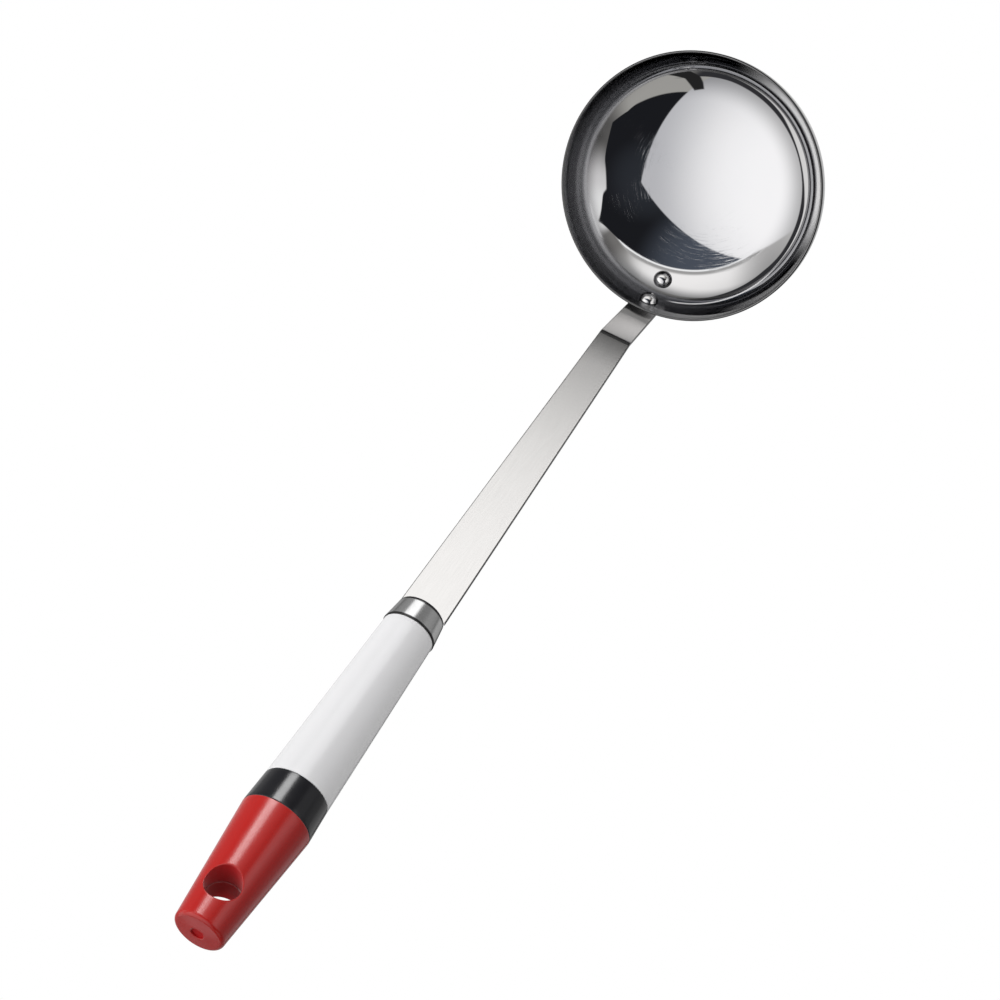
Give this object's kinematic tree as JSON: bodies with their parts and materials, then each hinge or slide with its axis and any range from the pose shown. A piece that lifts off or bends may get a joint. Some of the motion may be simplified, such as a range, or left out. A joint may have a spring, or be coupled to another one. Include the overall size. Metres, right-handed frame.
{
  "type": "ladle",
  "caption": "Kitchen ladle with a round drawn steel bowl, a flat tapered steel shank and a three-colour moulded handle with a hanging hole.",
  "frame": {"origin": "middle of the hanging hole through the end cap, on the handle's middle line", "axes": "+X runs level from the bowl towards the handle, parallel to the rim's plane; +Z is square to the rim's plane, out of the bowl; +Y is across the shank, to complete a right-handed frame"},
  "size_m": [0.2796, 0.09, 0.2515],
  "materials": {
    "polished_steel": "mirror polished stainless steel",
    "strap_steel": "polished stainless strap",
    "rivet_steel": "bright polished",
    "white_plastic": "satin moulded",
    "black_plastic": "gloss moulded",
    "red_plastic": "gloss moulded"
  },
  "bodies": {
    "root": {"bowl": "polished_steel", "shank": "strap_steel", "inner_rivet": "rivet_steel", "upper_rivet": "rivet_steel", "ferrule": "polished_steel", "grip_sleeve": "white_plastic", "grip_band": "black_plastic", "end_cap": "red_plastic", "tang_pin": "rivet_steel"}
  },
  "joints": []
}
